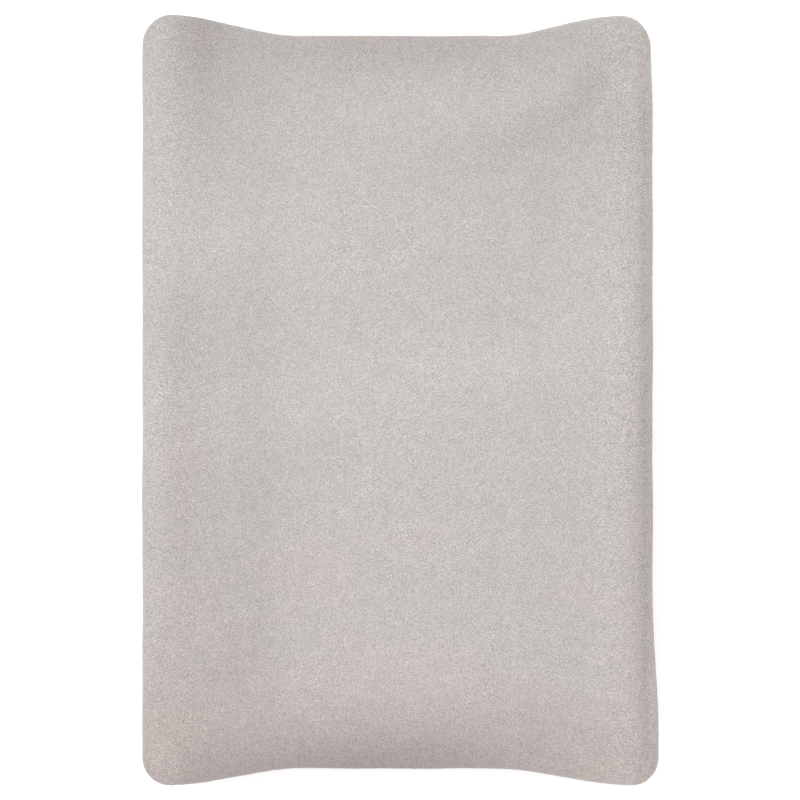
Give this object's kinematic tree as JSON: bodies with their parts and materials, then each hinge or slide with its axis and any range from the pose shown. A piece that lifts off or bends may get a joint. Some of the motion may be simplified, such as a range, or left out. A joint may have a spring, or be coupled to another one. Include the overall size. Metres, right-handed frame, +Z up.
{
  "type": "changing pad",
  "caption": "Contoured baby changing pad: raised long sides, flat trough open at both ends, foam core in a wipe-clean zipped case, under a fitted terry cover.",
  "frame": {"origin": "centre of the pad's footprint, on the surface that it lies on", "axes": "+Y along the length, towards the head end where the case's zip starts; +Z up, away from the surface; +X across the width, to the right of someone looking down with the head end away from them"},
  "size_m": [0.5, 0.75, 0.098],
  "materials": {
    "terry": "soft short-pile terry, grey-beige, matt",
    "seam_tape": "overlocked terry seam allowance",
    "hem_fabric": "woven binding, matt",
    "elastic": "woven elastic",
    "label_satin": "blank satin ribbon, slight sheen",
    "case_fabric": "wipe-clean coated fabric, satin",
    "case_base_fabric": "wipe-clean coated fabric, fine emboss",
    "piping": "coated fabric over a cord, satin",
    "eyelet_metal": "nickel plated, polished",
    "grip_rubber": "soft, matt",
    "zip_tape": "woven polyester tape",
    "zip_teeth": "moulded nylon coil",
    "zip_metal": "nickel plated, satin",
    "zip_pull_metal": "nickel plated, satin",
    "wadding": "white polyester fibre",
    "foam": "open-cell polyurethane foam, matt"
  },
  "bodies": {
    "pad": {"cover_panel": "terry", "corner_seams": "seam_tape", "hem_binding": "hem_fabric", "hem_elastic": "elastic", "care_label": "label_satin", "case_top": "case_fabric", "case_wall": "case_fabric", "case_base": "case_base_fabric", "case_piping_top": "piping", "case_piping_base": "piping", "vent_eyelets": "eyelet_metal", "grip_pads": "grip_rubber", "zip_tape_left": "zip_tape", "zip_tape_right": "zip_tape", "zip_teeth_left": "zip_teeth", "zip_teeth_right": "zip_teeth", "zip_end_stops": "zip_metal", "wadding": "wadding", "foam_base": "foam", "foam_wedge_left": "foam", "foam_wedge_right": "foam"},
    "zip_slider": {"zip_slider": "zip_metal"},
    "zip_pull": {"zip_pull": "zip_pull_metal"}
  },
  "joints": [
    {"name": "zip_slide", "type": "slide", "parent": "pad", "child": "zip_slider", "axis": [0, -1, 0], "range_m": [0, 0.515]},
    {"name": "zip_pull_hinge", "type": "hinge", "parent": "zip_slider", "child": "zip_pull", "pos_m": [0, 0.2625, 0.0016], "axis": [1, 0, 0], "range_deg": [0, 170]}
  ]
}
